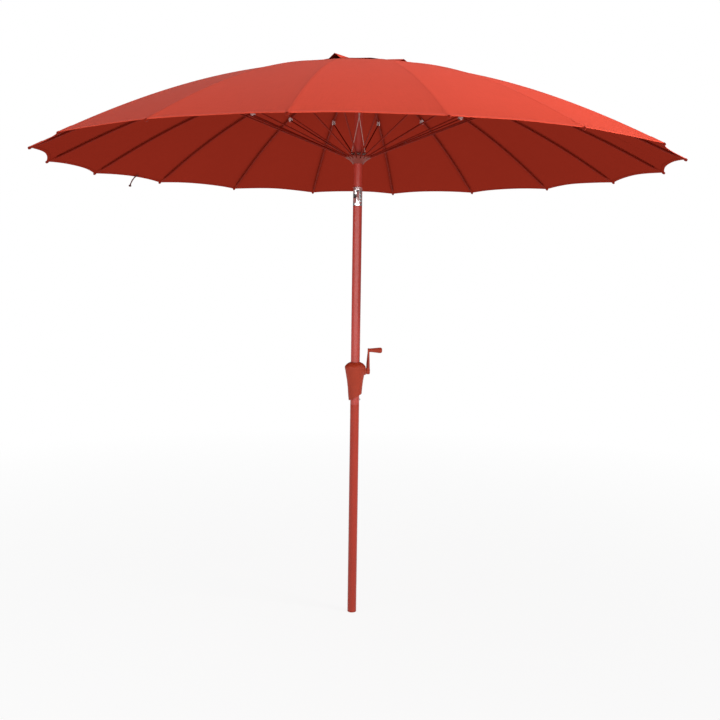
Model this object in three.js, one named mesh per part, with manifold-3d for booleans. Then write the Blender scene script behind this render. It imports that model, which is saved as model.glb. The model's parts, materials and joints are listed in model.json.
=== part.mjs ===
// Crank patio umbrella with eighteen ribs and a tilting upper pole.
// Millimetres, +Z up. The origin is the centre of the pole's foot. The crank is on the +X side.
import * as THREE from 'three';
import { mergeVertices } from 'three/addons/utils/BufferGeometryUtils.js';
import Module from 'manifold-3d';

const wasm = await Module();
wasm.setup();

// ---------- driving dimensions ----------
const RIB_COUNT = 18;
const TIP_RADIUS = 1275; // hem corners, from the pole's axis
const RIM_HEIGHT = 1895; // hem corners, above the foot
const DOME_RISE = 397; // from the hem corners to where the canopy would meet the axis
const DOME_POWER = 1.75; // how the dome steepens towards its rim
const SCALLOP = 25; // how far the hem draws in between two ribs
const GORE_SAG = 5; // how far the fabric dips between two ribs at the hem
const FABRIC = 1.5;
const VENT_RADIUS = 110; // the opening in the canopy's top

const CAP_RADIUS = 270;
const CAP_PEAKS = 6;
const CAP_TURN = 8; // how far the cap sits turned from the ribs, in degrees
const CAP_GAP = 4; // from the canopy to the cap, at the cap's hem
const CAP_LIFT = 26; // from the canopy to the cap, on the axis
const CAP_PEAK_LIFT = 26; // how far each peak of the cap's hem stands up
const CAP_PEAK_DEGREES = 6; // half the width of a peak

const RIB_DROP = 8.5; // from the canopy's upper face to the rib's centre
const RIB_RADIUS = 4;
const HINGE_RADIUS = 46; // rib hinges on the crown, and stretcher feet on the runner
const CLIP_RADIUS = 615; // stretcher hinges on the ribs
const CLIP_DROP = 10; // from the rib's centre down to the stretcher hinge
const HINGE_PIN = 1.4;
const HINGE_BORE = 1.7;
const TONGUE_WIDTH = 5;
const SLOT_WIDTH = 5.8;

const POLE_RADIUS = 19;
const POLE_WALL = 1.5;
const UPPER_POLE_RADIUS = 17;
const SPIGOT_RADIUS = 17.1; // what plugs into the middle pole
const JOINT_HEIGHT = 905; // where the lower pole meets the middle pole
const TILT_HEIGHT = 1783; // tilt hinge
const TILT_BASE_HEIGHT = 1736; // the middle pole's upper end
const TILT_TOP_HEIGHT = 1812; // the tilt head's upper end
const RUNNER_HEIGHT = 1933; // stretcher feet
const UPPER_POLE_TOP = 2281;

const CRANK_HEIGHT = 1047;
const CRANK_THROW = 89;
const SNAP_HEIGHT = 926;
const TILT_BUTTON_HEIGHT = 1757;
const TILT_AZIMUTH = -52; // the hinge's axis, in degrees from +X
const LINE_RADIUS = 1.3;

const PULLEY_AZIMUTH = -35.5; // degrees
const PULLEY_RADIUS = 22.7; // the pulley's axle, from the pole's axis
const PULLEY_HEIGHT = 2238;
const PULLEY_PITCH = 11.7;

// ---------- the dome's outline ----------
const canopyHeight = (r) => RIM_HEIGHT + DOME_RISE * (1 - (r / TIP_RADIUS) ** DOME_POWER);
const ribHeight = (r) => canopyHeight(r) - RIB_DROP;
const CROWN_HEIGHT = ribHeight(HINGE_RADIUS);
const CLIP_HEIGHT = ribHeight(CLIP_RADIUS) - CLIP_DROP;
const radians = (degrees) => (degrees * Math.PI) / 180;

// ---------- solids ----------
// One closed indexed geometry with only positions, and its faces pointing out.
function closed(geometry) {
  const plain = new THREE.BufferGeometry();
  plain.setAttribute('position', geometry.getAttribute('position').clone());
  if (geometry.index) plain.setIndex(geometry.index.clone());
  const merged = mergeVertices(plain, 1e-4);
  const position = merged.getAttribute('position');
  const corner = (i) => new THREE.Vector3().fromBufferAttribute(position, i);
  const kept = [];
  let volume = 0;
  for (let i = 0; i < merged.index.count; i += 3) {
    const [a, b, c] = [0, 1, 2].map((k) => merged.index.getX(i + k));
    if (a === b || b === c || c === a) continue;
    kept.push([a, b, c]);
    volume += corner(a).dot(corner(b).cross(corner(c)));
  }
  merged.setIndex(kept.flatMap(([a, b, c]) => (volume < 0 ? [a, c, b] : [a, b, c])));
  return merged;
}

function toManifold(geometry) {
  const merged = closed(geometry);
  const vertProperties = new Float32Array(merged.getAttribute('position').array);
  const triVerts = new Uint32Array(merged.index.array);
  return new wasm.Manifold(new wasm.Mesh({ numProp: 3, vertProperties, triVerts }));
}

function fromManifold(manifold) {
  const { vertProperties, triVerts } = manifold.getMesh();
  const geometry = new THREE.BufferGeometry();
  geometry.setAttribute('position', new THREE.BufferAttribute(vertProperties, 3));
  geometry.setIndex(new THREE.BufferAttribute(triVerts, 1));
  return geometry;
}

const join = (first, ...others) =>
  fromManifold(others.reduce((sum, other) => sum.add(toManifold(other)), toManifold(first)));
const cut = (first, ...tools) =>
  fromManifold(tools.reduce((rest, tool) => rest.subtract(toManifold(tool)), toManifold(first)));
const common = (first, other) => fromManifold(toManifold(first).intersect(toManifold(other)));

// A solid turned about Z from an outline of [radius, height] points.
function lathe(outline, segments = 24) {
  const points = outline.map(([r, z]) => new THREE.Vector2(r, z));
  return closed(new THREE.LatheGeometry(points, segments).rotateX(Math.PI / 2));
}

const ring = (inner, outer, low, high, segments) =>
  lathe([[inner, low], [outer, low], [outer, high], [inner, high], [inner, low]], segments);
const disc = (radius, low, high, segments) =>
  lathe([[0, low], [radius, low], [radius, high], [0, high]], segments);

// Turns a solid made about Z so that it lies along X or along Y.
const alongX = (geometry) => geometry.rotateY(Math.PI / 2);
const alongY = (geometry) => geometry.rotateX(-Math.PI / 2);
const moved = (geometry, x, y, z) => geometry.translate(x, y, z);
const turned = (geometry, degrees) => geometry.rotateZ(radians(degrees));

// A box between two corners.
function block([x0, y0, z0], [x1, y1, z1]) {
  const box = new THREE.BoxGeometry(x1 - x0, y1 - y0, z1 - z0);
  return moved(box, (x0 + x1) / 2, (y0 + y1) / 2, (z0 + z1) / 2);
}

// An outline of [x, z] points, thickened by width about the plane y = 0.
function plate(outline, width) {
  const shape = new THREE.Shape(outline.map(([x, z]) => new THREE.Vector2(x, z)));
  const solid = new THREE.ExtrudeGeometry(shape, { depth: width, bevelEnabled: false });
  return closed(solid.rotateX(Math.PI / 2).translate(0, width / 2, 0));
}

function polygon(radius, sides) {
  const shape = new THREE.Shape();
  for (let k = 0; k < sides; k += 1) {
    const angle = (2 * Math.PI * k) / sides;
    const place = [radius * Math.cos(angle), radius * Math.sin(angle)];
    if (k === 0) shape.moveTo(...place);
    else shape.lineTo(...place);
  }
  return shape;
}

// A path through listed points, with one step of an extrusion at each point.
class Route extends THREE.Curve {
  constructor(points) {
    super();
    this.points = points.map((p) => new THREE.Vector3(...p));
  }

  getPoint(t) {
    const place = t * (this.points.length - 1);
    const k = Math.min(Math.floor(place), this.points.length - 2);
    return this.points[k].clone().lerp(this.points[k + 1], place - k);
  }

  getPointAt(t) {
    return this.getPoint(t);
  }

  getTangentAt(t) {
    const step = 0.5 / (this.points.length - 1);
    const ahead = this.getPoint(Math.min(1, t + step));
    return ahead.sub(this.getPoint(Math.max(0, t - step))).normalize();
  }
}

function tubeAlong(points, radius, sides) {
  const extrudePath = new Route(points);
  const settings = { steps: points.length - 1, bevelEnabled: false, extrudePath };
  return closed(new THREE.ExtrudeGeometry(polygon(radius, sides), settings));
}

// A closed skin round the axis: place(turn, step) is a point of its upper face, with turn running
// over the columns and step over the rows from the inner edge to the outer one.
function skin(columns, rows, place, thickness) {
  const positions = [];
  for (const drop of [0, thickness]) {
    for (let row = 0; row < rows; row += 1) {
      for (let column = 0; column < columns; column += 1) {
        const { x, y, z } = place(column, row);
        positions.push(x, y, z - drop);
      }
    }
  }
  const at = (layer, row, column) => (layer * rows + row) * columns + (column % columns);
  const faces = [];
  const quad = (a, b, c, d) => faces.push(a, b, c, a, c, d);
  for (let column = 0; column < columns; column += 1) {
    const next = column + 1;
    for (let row = 0; row + 1 < rows; row += 1) {
      quad(at(0, row, column), at(0, row + 1, column), at(0, row + 1, next), at(0, row, next));
      quad(at(1, row, column), at(1, row, next), at(1, row + 1, next), at(1, row + 1, column));
    }
    const last = rows - 1;
    quad(at(0, 0, column), at(0, 0, next), at(1, 0, next), at(1, 0, column));
    quad(at(0, last, column), at(1, last, column), at(1, last, next), at(0, last, next));
  }
  const geometry = new THREE.BufferGeometry();
  geometry.setAttribute('position', new THREE.Float32BufferAttribute(positions, 3));
  geometry.setIndex(faces);
  return closed(geometry);
}

// ---------- materials ----------
const surface = (color, roughness, metalness) => () =>
  new THREE.MeshStandardMaterial({ color, roughness, metalness });
const fabric = surface(0xc9523d, 0.9, 0);
const redPaint = surface(0xb4463a, 0.4, 0.2);
const redPlastic = surface(0xa83c2c, 0.5, 0);
const chrome = surface(0xe8e8ea, 0.1, 1);
const steel = surface(0x8a8d90, 0.35, 1);
const greyPlastic = surface(0x3a3a3c, 0.6, 0);
const lineCord = surface(0xe2b8b0, 0.9, 0);
const darkCord = surface(0x4a1512, 0.9, 0);

const umbrella = new THREE.Group();

function add(name, geometry, material, parent = umbrella) {
  const mesh = new THREE.Mesh(geometry, material());
  mesh.name = name;
  parent.add(mesh);
  return mesh;
}

// ---------- poles ----------
function addPoles() {
  const bore = POLE_RADIUS - POLE_WALL;
  const footPlug = join(disc(POLE_RADIUS, 0, 4), disc(bore - 0.4, 3.5, 26));
  const spigotTop = 992;
  const spigotBore = SPIGOT_RADIUS - POLE_WALL;
  const lowerTube = lathe([
    [bore, 4.3], [POLE_RADIUS, 4.3], [POLE_RADIUS, JOINT_HEIGHT],
    [SPIGOT_RADIUS, JOINT_HEIGHT], [SPIGOT_RADIUS, spigotTop],
    [spigotBore, spigotTop], [spigotBore, JOINT_HEIGHT - 8], [bore, JOINT_HEIGHT - 16], [bore, 4.3],
  ]);
  const snapHole = () => moved(alongX(disc(4.1, 8, 24, 12)), 0, 0, SNAP_HEIGHT);
  const shaftHole = () => moved(alongX(disc(6, -24, 24, 12)), 0, 0, CRANK_HEIGHT);
  const middleTube = ring(bore, POLE_RADIUS, JOINT_HEIGHT + 0.3, TILT_BASE_HEIGHT);
  const upperTube = ring(UPPER_POLE_RADIUS - POLE_WALL, UPPER_POLE_RADIUS, TILT_TOP_HEIGHT - 5.7, UPPER_POLE_TOP);
  const pulleySlot = block([8, -4.2, PULLEY_HEIGHT - 16], [20, 4.2, PULLEY_HEIGHT + 16]);
  add('foot_plug', footPlug, greyPlastic);
  add('lower_pole', cut(lowerTube, snapHole()), redPaint);
  add('middle_pole', cut(middleTube, snapHole(), shaftHole()), redPaint);
  add('upper_pole', cut(upperTube, turned(pulleySlot, PULLEY_AZIMUTH)), redPaint);
}

// The button that locks the lower pole in the middle pole, on a bent leaf spring inside the spigot.
function addSnapButton() {
  const button = lathe([[0, 9.8], [3.7, 9.8], [3.7, 21], [2.6, 23], [0, 23.4]], 12);
  add('snap_button', moved(alongX(button), 0, 0, SNAP_HEIGHT), steel);
  const leaf = plate([
    [9.4, SNAP_HEIGHT + 9], [9.4, SNAP_HEIGHT - 9], [-10, SNAP_HEIGHT - 38], [-10, SNAP_HEIGHT + 8],
    [-9, SNAP_HEIGHT + 8], [-9, SNAP_HEIGHT - 35], [8.4, SNAP_HEIGHT - 7.5], [8.4, SNAP_HEIGHT + 9],
  ], 7);
  add('snap_spring', leaf, steel);
}

// ---------- tilt joint ----------
// The base is a fork whose two cheeks stand either side of the head's tongue, and the hinge pin
// runs through all three. It is made with the pin along X and then turned about the pole. Base and
// head carry an off-axis hole for the lift line.
const LINE_OFFSET = 9;

function addTiltJoint() {
  const cheekRadius = 15.2;
  const cheekInner = 10.8;
  const seatHeight = TILT_HEIGHT - 15.8;
  const lineHole = () => moved(disc(3, TILT_BASE_HEIGHT - 40, TILT_TOP_HEIGHT + 20, 8), 0, LINE_OFFSET, 0);
  const rounded = (radius, x0, x1) => moved(alongX(disc(radius, x0, x1, 24)), 0, 0, TILT_HEIGHT);
  const pinHole = () => rounded(3.1, -30, 30);

  const body = join(
    disc(POLE_RADIUS, TILT_BASE_HEIGHT + 0.3, seatHeight),
    disc(SPIGOT_RADIUS, TILT_BASE_HEIGHT - 34, TILT_BASE_HEIGHT + 1),
  );
  const wide = block([-30, -cheekRadius, seatHeight - 1], [30, cheekRadius, TILT_HEIGHT]);
  const cheekBlank = common(disc(POLE_RADIUS, seatHeight - 1, TILT_TOP_HEIGHT), join(wide, rounded(cheekRadius, -30, 30)));
  const gap = block([-cheekInner, -30, seatHeight], [cheekInner, 30, TILT_TOP_HEIGHT + 5]);
  const buttonHole = moved(alongX(disc(6.2, 7, 24, 16)), 0, 0, TILT_BUTTON_HEIGHT);
  const base = cut(join(body, cut(cheekBlank, gap)), pinHole(), lineHole(), buttonHole);
  add('tilt_base', turned(base, TILT_AZIMUTH), chrome);

  const tongueWidth = cheekInner - 0.4;
  const aboveHinge = common(
    disc(POLE_RADIUS, TILT_HEIGHT, TILT_TOP_HEIGHT),
    block([-tongueWidth, -30, TILT_HEIGHT], [tongueWidth, 30, TILT_TOP_HEIGHT]),
  );
  const cap = disc(POLE_RADIUS, TILT_HEIGHT + 15.8, TILT_TOP_HEIGHT);
  const tongue = join(aboveHinge, rounded(cheekRadius, -tongueWidth, tongueWidth), cap);
  const socket = disc(UPPER_POLE_RADIUS + 0.3, TILT_TOP_HEIGHT - 6, TILT_TOP_HEIGHT + 5);
  const plug = disc(UPPER_POLE_RADIUS - POLE_WALL - 0.4, TILT_TOP_HEIGHT - 10, TILT_TOP_HEIGHT + 18);
  const head = cut(join(cut(tongue, socket), plug), pinHole(), lineHole());
  add('tilt_head', turned(head, TILT_AZIMUTH), chrome);
  const rivet = lathe([[0, -18.6], [2.8, -18.6], [2.8, 18.6], [0, 18.6]], 12);
  add('tilt_pin', turned(moved(alongX(rivet), 0, 0, TILT_HEIGHT), TILT_AZIMUTH), steel);
  const button = lathe([[0, 10.6], [5.8, 10.6], [5.8, 19.2], [4.8, 20.1], [0, 20.4]], 16);
  add('tilt_button', turned(moved(alongX(button), 0, 0, TILT_BUTTON_HEIGHT), TILT_AZIMUTH), chrome);
}

// ---------- crank ----------
const BOSS_FACE = 45.6; // the end of the housing's side boss, from the pole's axis

function addHousing() {
  const outside = lathe([
    [0, 1085], [21, 1085], [34, 1081.5], [42.5, 1073], [44.6, 1066], [42.2, 1050], [35.1, 1007], [31.2, 976],
    [28.6, 940], [27, 928], [24.5, 912], [0, 912],
  ]);
  const boss = moved(alongX(lathe([[0, 24], [20, 24], [15.5, 38], [15, BOSS_FACE], [0, BOSS_FACE]], 20)), 0, 0, CRANK_HEIGHT);
  const hollow = lathe([
    [0, 1081.5], [33, 1078], [39.5, 1071], [41.6, 1065], [39.4, 1050], [32.3, 1007], [28.4, 976],
    [26.4, 944], [0, 944],
  ]);
  const poleHole = disc(POLE_RADIUS + 0.4, 900, 1100);
  const shaftHole = moved(alongX(disc(11.3, 20, 60, 16)), 0, 0, CRANK_HEIGHT);
  // the foot is cut off on a slant, lowest on the side away from the crank
  const slant = moved(block([-80, -60, -60], [80, 60, 0]).rotateY(-Math.atan2(29, 55)), 0, 0, 936.5);
  const shell = cut(join(outside, boss), hollow, poleHole, shaftHole, slant);
  const half = (low, high) => common(shell, block([-70, low, 880], [70, high, 1120]));
  add('housing_front', half(-60, -0.15), redPlastic);
  add('housing_back', half(0.15, 60), redPlastic);
}

function addCrank() {
  const bushing = moved(alongX(ring(6.4, 11, 35, BOSS_FACE - 1, 16)), 0, 0, CRANK_HEIGHT);
  add('crank_bushing', bushing, greyPlastic);

  const spool = lathe([
    [0, -32], [4.5, -32], [4.5, -11], [12.4, -11], [12.4, -9], [8, -9], [8, 9], [12.4, 9], [12.4, 11],
    [5.8, 11], [5.8, 49], [0, 49],
  ], 16);
  add('crank_shaft', moved(alongX(spool), 0, 0, CRANK_HEIGHT), steel);

  const knobHeight = CRANK_HEIGHT + CRANK_THROW;
  const hub = moved(alongX(disc(13, BOSS_FACE + 0.6, 62, 20)), 0, 0, CRANK_HEIGHT);
  const web = plate([
    [46.4, CRANK_HEIGHT], [61.6, CRANK_HEIGHT], [59, knobHeight], [52, knobHeight], [46.6, CRANK_HEIGHT + 18],
  ], 15);
  const eye = moved(alongX(disc(8, 52, 59, 16)), 0, 0, knobHeight);
  const pin = moved(alongX(disc(3, 55, 98, 10)), 0, 0, knobHeight);
  const socket = moved(alongX(disc(6.1, 40, 49.4, 12)), 0, 0, CRANK_HEIGHT);
  add('crank_arm', cut(join(hub, web, eye, pin), socket), redPlastic);

  const knob = lathe([
    [3.3, 59.6], [7.6, 59.6], [8, 62], [8, 66], [10.5, 88], [11.8, 102], [11, 108], [7.5, 111.5], [0, 112.5],
    [0, 99], [3.3, 99], [3.3, 59.6],
  ], 16);
  add('crank_knob', moved(alongX(knob), 0, 0, knobHeight), redPlastic);
}

// ---------- crown and runner ----------
// A radial slot for one rib or stretcher, open above, below and outwards.
const slot = (azimuth, low, high) =>
  turned(block([41, -SLOT_WIDTH / 2, low], [64, SLOT_WIDTH / 2, high]), azimuth);
const azimuths = Array.from({ length: RIB_COUNT }, (_, k) => (360 * k) / RIB_COUNT);

function addCrown() {
  const top = CROWN_HEIGHT + 6.5;
  const blank = lathe([
    [0, CROWN_HEIGHT - 6.5], [54, CROWN_HEIGHT - 6.5], [54, top], [8, top], [7, top + 2],
    [7, top + 28], [0, top + 28],
  ], 36);
  const collar = disc(24, CROWN_HEIGHT - 20, CROWN_HEIGHT - 6);
  const bore = disc(UPPER_POLE_RADIUS + 0.4, CROWN_HEIGHT - 30, UPPER_POLE_TOP + 0.5);
  const slots = azimuths.map((azimuth) => slot(azimuth, CROWN_HEIGHT - 20, top + 5));
  const pins = azimuths.map((azimuth) => {
    const pin = moved(alongY(disc(HINGE_PIN, -5.5, 5.5, 6)), HINGE_RADIUS, 0, CROWN_HEIGHT);
    return turned(pin, azimuth);
  });
  const cheek = (side) =>
    turned(block([18, side * 5.5 - 1.2, PULLEY_HEIGHT - 5], [29, side * 5.5 + 1.2, CROWN_HEIGHT - 5]), PULLEY_AZIMUTH);
  const axle = turned(moved(alongY(disc(2.2, -6, 6, 10)), PULLEY_RADIUS, 0, PULLEY_HEIGHT), PULLEY_AZIMUTH);
  const lineAnchor = moved(disc(4, CROWN_HEIGHT - 16, CROWN_HEIGHT - 6, 10), -29, -27, 0);
  const slotted = cut(join(blank, collar), bore, ...slots);
  add('crown_hub', join(slotted, ...pins, cheek(-1), cheek(1), axle, lineAnchor), redPlastic);

  const wheel = lathe([
    [2.6, -3.2], [13.5, -3.2], [13.5, -2], [10, -2], [10, 2], [13.5, 2], [13.5, 3.2], [2.6, 3.2], [2.6, -3.2],
  ], 18);
  add('line_pulley', turned(moved(alongY(wheel), PULLEY_RADIUS, 0, PULLEY_HEIGHT), PULLEY_AZIMUTH), greyPlastic);

  const capTop = canopyHeight(0) + CAP_LIFT;
  const finial = lathe([
    [0, top + 28.5], [13, capTop + 0.8], [14, capTop + 2.5], [9, capTop + 8], [0, capTop + 10],
  ], 16);
  add('finial', finial, redPlastic);
}

function addRunner() {
  const blank = lathe([
    [20.7, 1907], [23, 1907], [37, 1925], [52, 1930], [52.5, 1938], [24, 1940], [24, 1947],
    [39, 1947], [39, 1951], [20.7, 1951], [20.7, 1907],
  ], 36);
  const slots = azimuths.map((azimuth) => slot(azimuth, 1915, 1943));
  const lineHole = (side) => moved(disc(2.7, 1940, 1960, 8), side * 27, -22, 0);
  add('runner', cut(blank, lineHole(-1), lineHole(1), ...slots), redPlastic);
}

// ---------- ribs and stretchers ----------
// Each is made in the plane of its own azimuth, with X outwards, and then turned to its place.
const BAR_START = HINGE_RADIUS + 11;
const BAR_END = TIP_RADIUS - 6;

class RibCurve extends THREE.Curve {
  getPoint(t) {
    const r = BAR_START + t * (BAR_END - BAR_START);
    return new THREE.Vector3(r, 0, ribHeight(r));
  }
}

const eyeAt = (x, z, radius) =>
  moved(alongY(ring(HINGE_BORE, radius, -TONGUE_WIDTH / 2, TONGUE_WIDTH / 2, 8)), x, 0, z);

function ribGeometry() {
  const settings = { steps: 7, bevelEnabled: false, extrudePath: new RibCurve() };
  const bar = closed(new THREE.ExtrudeGeometry(polygon(RIB_RADIUS, 6), settings));
  const tongue = block([HINGE_RADIUS + 3, -TONGUE_WIDTH / 2, -3], [BAR_START + 4, TONGUE_WIDTH / 2, 3]);
  moved(tongue, 0, 0, CROWN_HEIGHT - 0.3);
  const fall = Math.atan2(ribHeight(CLIP_RADIUS - 10) - ribHeight(CLIP_RADIUS + 10), 20);
  const onRib = (shape) => moved(shape.rotateY(fall), CLIP_RADIUS, 0, ribHeight(CLIP_RADIUS));
  const clip = onRib(block([-11, -5.6, -14], [11, 5.6, 3.8]));
  const gap = onRib(block([-20, -SLOT_WIDTH / 2, -20], [20, SLOT_WIDTH / 2, -4.6]));
  const pin = moved(alongY(disc(HINGE_PIN, -5, 5, 6)), CLIP_RADIUS, 0, CLIP_HEIGHT);
  return join(bar, tongue, eyeAt(HINGE_RADIUS, CROWN_HEIGHT, 4), cut(clip, gap), pin);
}

function stretcherGeometry() {
  const run = CLIP_RADIUS - HINGE_RADIUS;
  const rise = CLIP_HEIGHT - RUNNER_HEIGHT;
  const length = Math.hypot(run, rise);
  const bar = block([3, -2.4, -3], [length, 2.4, 3]).rotateY(-Math.atan2(rise, run));
  moved(bar, HINGE_RADIUS, 0, RUNNER_HEIGHT);
  const trimmed = cut(bar, moved(alongY(disc(3.2, -6, 6, 10)), CLIP_RADIUS, 0, CLIP_HEIGHT));
  const foot = moved(alongY(disc(4, -TONGUE_WIDTH / 2, TONGUE_WIDTH / 2, 8)), HINGE_RADIUS, 0, RUNNER_HEIGHT);
  return join(trimmed, foot, eyeAt(CLIP_RADIUS, CLIP_HEIGHT, 4));
}

function addRibsAndStretchers() {
  const rib = ribGeometry();
  const stretcher = stretcherGeometry();
  azimuths.forEach((azimuth, k) => {
    const spoke = new THREE.Group();
    spoke.rotation.z = radians(azimuth);
    const number = String(k + 1).padStart(2, '0');
    add(`rib_${number}`, rib, redPaint, spoke);
    add(`stretcher_${number}`, stretcher, redPaint, spoke);
    umbrella.add(spoke);
  });
}

// ---------- fabric ----------
const polar = (r, degrees, z) =>
  new THREE.Vector3(r * Math.cos(radians(degrees)), r * Math.sin(radians(degrees)), z);

function canopyPoint(radius, azimuth) {
  const gore = 360 / RIB_COUNT;
  const rib = Math.floor(azimuth / gore + 1e-9);
  const share = azimuth / gore - rib;
  const middle = 4 * share * (1 - share); // 0 on a rib, 1 halfway between two
  const outward = (radius / TIP_RADIUS) ** 8;
  const r = radius - SCALLOP * middle * outward;
  const left = polar(r, rib * gore, 0);
  const right = polar(r, (rib + 1) * gore, 0);
  const point = left.lerp(right, share);
  point.z = canopyHeight(r) - GORE_SAG * middle * (radius / TIP_RADIUS) ** 3;
  return point;
}

function addCanopy() {
  const perGore = 4;
  const columns = RIB_COUNT * perGore;
  const rows = 7;
  const place = (column, row) => {
    const radius = VENT_RADIUS + ((TIP_RADIUS - VENT_RADIUS) * row) / (rows - 1);
    return canopyPoint(radius, (360 * column) / columns);
  };
  add('canopy', skin(columns, rows, place, FABRIC), fabric);
}

function addVentCap() {
  const offsets = [0, CAP_PEAK_DEGREES, 18, 30, 42, 60 - CAP_PEAK_DEGREES];
  const columns = CAP_PEAKS * offsets.length;
  const radii = [9, 70, 140, 210, CAP_RADIUS];
  const place = (column, row) => {
    const offset = offsets[column % offsets.length];
    const sector = Math.floor(column / offsets.length);
    const radius = radii[row];
    const outward = radius / CAP_RADIUS;
    const lift = CAP_LIFT + (CAP_GAP - CAP_LIFT) * outward;
    const peak = offset === 0 ? CAP_PEAK_LIFT * outward ** 2 : 0;
    const azimuth = (360 / CAP_PEAKS) * sector + offset + CAP_TURN;
    return polar(radius, azimuth, canopyHeight(radius) + lift + peak);
  };
  add('vent_cap', skin(columns, radii.length, place, FABRIC), fabric);
}

// ---------- cords ----------
// The lift line leaves the spool, climbs inside the poles, turns over the pulley, crosses down in
// front of the pole to the runner, passes under its plate, and crosses back up to the crown.
function addLiftLine() {
  const overPulley = [];
  for (let k = 0; k <= 6; k += 1) {
    const angle = Math.PI * (1 - k / 6);
    const r = PULLEY_RADIUS + PULLEY_PITCH * Math.cos(angle);
    const point = polar(r, PULLEY_AZIMUTH, PULLEY_HEIGHT + PULLEY_PITCH * Math.sin(angle));
    overPulley.push(point.toArray());
  }
  const [insideX, insideY] = overPulley[0];
  const [outsideX, outsideY] = overPulley[6];
  const [tiltX, tiltY] = polar(LINE_OFFSET, TILT_AZIMUTH + 90, 0).toArray();
  const points = [
    [0, 9.9, CRANK_HEIGHT], [0, 9.7, 1090], [2, 8.8, 1180], [tiltX, tiltY, 1450], [tiltX, tiltY, 1700],
    [tiltX, tiltY, 1840], [8, -0.4, 2020], [insideX, insideY, 2190], ...overPulley,
    [outsideX * 0.96, outsideY, 2228], [0, -21, 2093], [-26.6, -22, 1958], [-27, -22, 1949.5],
    [-25.9, -23, 1945.4], [-20, -26, 1943.6], [0, -29, 1943.6], [20, -26, 1943.6], [25.9, -23, 1945.4],
    [27, -22, 1949.5], [26.6, -22.2, 1958], [0, -24.7, 2107], [-28, -27, 2256], [-29, -27, CROWN_HEIGHT - 16.4],
  ];
  add('lift_line', tubeAlong(points, LINE_RADIUS, 8), lineCord);
}

// The tie that holds the closed canopy hangs from the hem, in the middle of one gore.
function addTieCord() {
  const azimuth = 149.5;
  const along = [
    [1203, 1907], [1211, 1904.5], [1219, 1901], [1227, 1896.5], [1234.5, 1890], [1241.5, 1882.5],
    [1247.5, 1874.5], [1252.5, 1866], [1256.5, 1857],
  ];
  const points = along.map(([r, z]) => polar(r, azimuth, z).toArray());
  add('tie_cord', tubeAlong(points, 2.2, 8), darkCord);
}

addPoles();
addSnapButton();
addTiltJoint();
addHousing();
addCrank();
addCrown();
addRunner();
addRibsAndStretchers();
addCanopy();
addVentCap();
addLiftLine();
addTieCord();

export default umbrella;
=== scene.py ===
import json
import math

import bmesh
import bpy
import numpy as np
from mathutils import Matrix, Vector


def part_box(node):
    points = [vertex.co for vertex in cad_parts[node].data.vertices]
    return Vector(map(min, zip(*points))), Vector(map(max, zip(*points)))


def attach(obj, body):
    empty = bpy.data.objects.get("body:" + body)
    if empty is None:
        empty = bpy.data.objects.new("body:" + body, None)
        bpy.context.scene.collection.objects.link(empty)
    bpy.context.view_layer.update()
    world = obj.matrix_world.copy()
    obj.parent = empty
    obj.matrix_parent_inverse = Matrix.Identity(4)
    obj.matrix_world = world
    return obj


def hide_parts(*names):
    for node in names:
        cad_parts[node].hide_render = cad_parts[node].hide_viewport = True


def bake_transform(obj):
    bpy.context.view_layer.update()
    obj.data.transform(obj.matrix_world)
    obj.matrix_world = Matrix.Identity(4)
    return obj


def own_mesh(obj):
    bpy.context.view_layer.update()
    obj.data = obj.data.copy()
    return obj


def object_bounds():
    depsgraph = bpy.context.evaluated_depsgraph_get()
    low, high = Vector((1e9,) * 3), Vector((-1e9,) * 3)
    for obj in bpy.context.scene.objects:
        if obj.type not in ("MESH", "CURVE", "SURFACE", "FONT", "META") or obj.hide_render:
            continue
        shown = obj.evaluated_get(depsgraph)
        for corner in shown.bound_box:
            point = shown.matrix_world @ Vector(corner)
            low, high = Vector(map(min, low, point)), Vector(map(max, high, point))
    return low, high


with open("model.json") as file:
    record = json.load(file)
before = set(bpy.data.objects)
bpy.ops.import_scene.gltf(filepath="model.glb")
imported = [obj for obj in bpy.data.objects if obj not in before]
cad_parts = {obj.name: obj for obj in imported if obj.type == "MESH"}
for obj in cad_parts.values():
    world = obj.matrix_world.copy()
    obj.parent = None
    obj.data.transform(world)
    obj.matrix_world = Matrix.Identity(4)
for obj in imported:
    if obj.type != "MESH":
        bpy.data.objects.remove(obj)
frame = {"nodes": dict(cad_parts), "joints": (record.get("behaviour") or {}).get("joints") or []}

cad_low, cad_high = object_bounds()

# ---------- sizes that the frame gives ----------
RIBS = sum(name.startswith("rib_") for name in frame["nodes"])
GORE = 360 / RIBS
JOINTS = {joint["name"]: joint for joint in frame["joints"]}
CROWN_HINGE = Vector(JOINTS["rib_fold_01"]["pos_m"])
CLIP_HINGE = Vector(JOINTS["stretcher_fold_01"]["pos_m"])
TILT_HEIGHT = JOINTS["canopy_tilt"]["pos_m"][2]
CRANK_HEIGHT = JOINTS["crank_turn"]["pos_m"][2]
KNOB_HEIGHT = JOINTS["knob_spin"]["pos_m"][2]
TIP_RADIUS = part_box("canopy")[1].x
POLE_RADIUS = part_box("lower_pole")[1].x
UPPER_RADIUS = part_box("upper_pole")[1].x
JOINT_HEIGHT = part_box("middle_pole")[0].z
TILT_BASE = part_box("middle_pole")[1].z
SOCKET = 0.0057  # how far the upper pole stands in the tilt head
TILT_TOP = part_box("upper_pole")[0].z + SOCKET
SNAP_HEIGHT = sum(corner.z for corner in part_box("snap_button")) / 2
BUTTON_HEIGHT = sum(corner.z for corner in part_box("tilt_button")) / 2

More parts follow.
